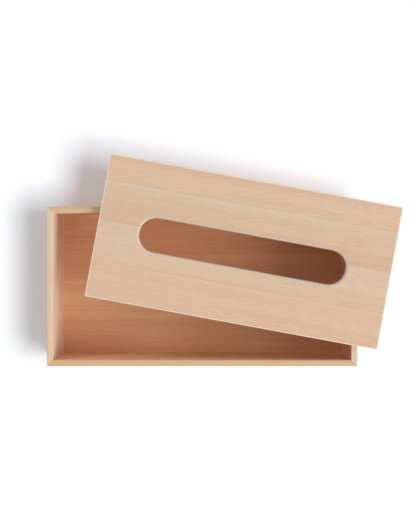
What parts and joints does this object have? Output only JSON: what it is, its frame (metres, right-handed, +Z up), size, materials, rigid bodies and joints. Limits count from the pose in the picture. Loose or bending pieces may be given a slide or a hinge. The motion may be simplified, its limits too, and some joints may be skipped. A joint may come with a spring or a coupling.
{
  "type": "tissue box",
  "caption": "Open rectangular wooden tissue tray with mitred corners and a loose flat lid with a round-ended dispensing slot, lying askew on the rim.",
  "frame": {"origin": "centre of the tray's flat underside, on the surface it stands on", "axes": "+X along the tray's length, +Y towards the back wall, +Z up out of the tray's open top"},
  "size_m": [0.2968, 0.1774, 0.078],
  "materials": {
    "wall_wood": "satin",
    "bottom_wood": "satin",
    "lid_wood": "satin"
  },
  "bodies": {
    "tray": {"front_wall": "wall_wood", "back_wall": "wall_wood", "left_wall": "wall_wood", "right_wall": "wall_wood", "bottom_panel": "bottom_wood"},
    "lid": {"lid_stave_back": "lid_wood", "lid_stave_mid_back": "lid_wood", "lid_stave_mid_front": "lid_wood", "lid_stave_front": "lid_wood"}
  },
  "joints": [
    {"name": "lid_lift", "type": "slide", "parent": "tray", "child": "lid", "axis": [0, 0, 1], "range_m": [0, 0.1]}
  ]
}
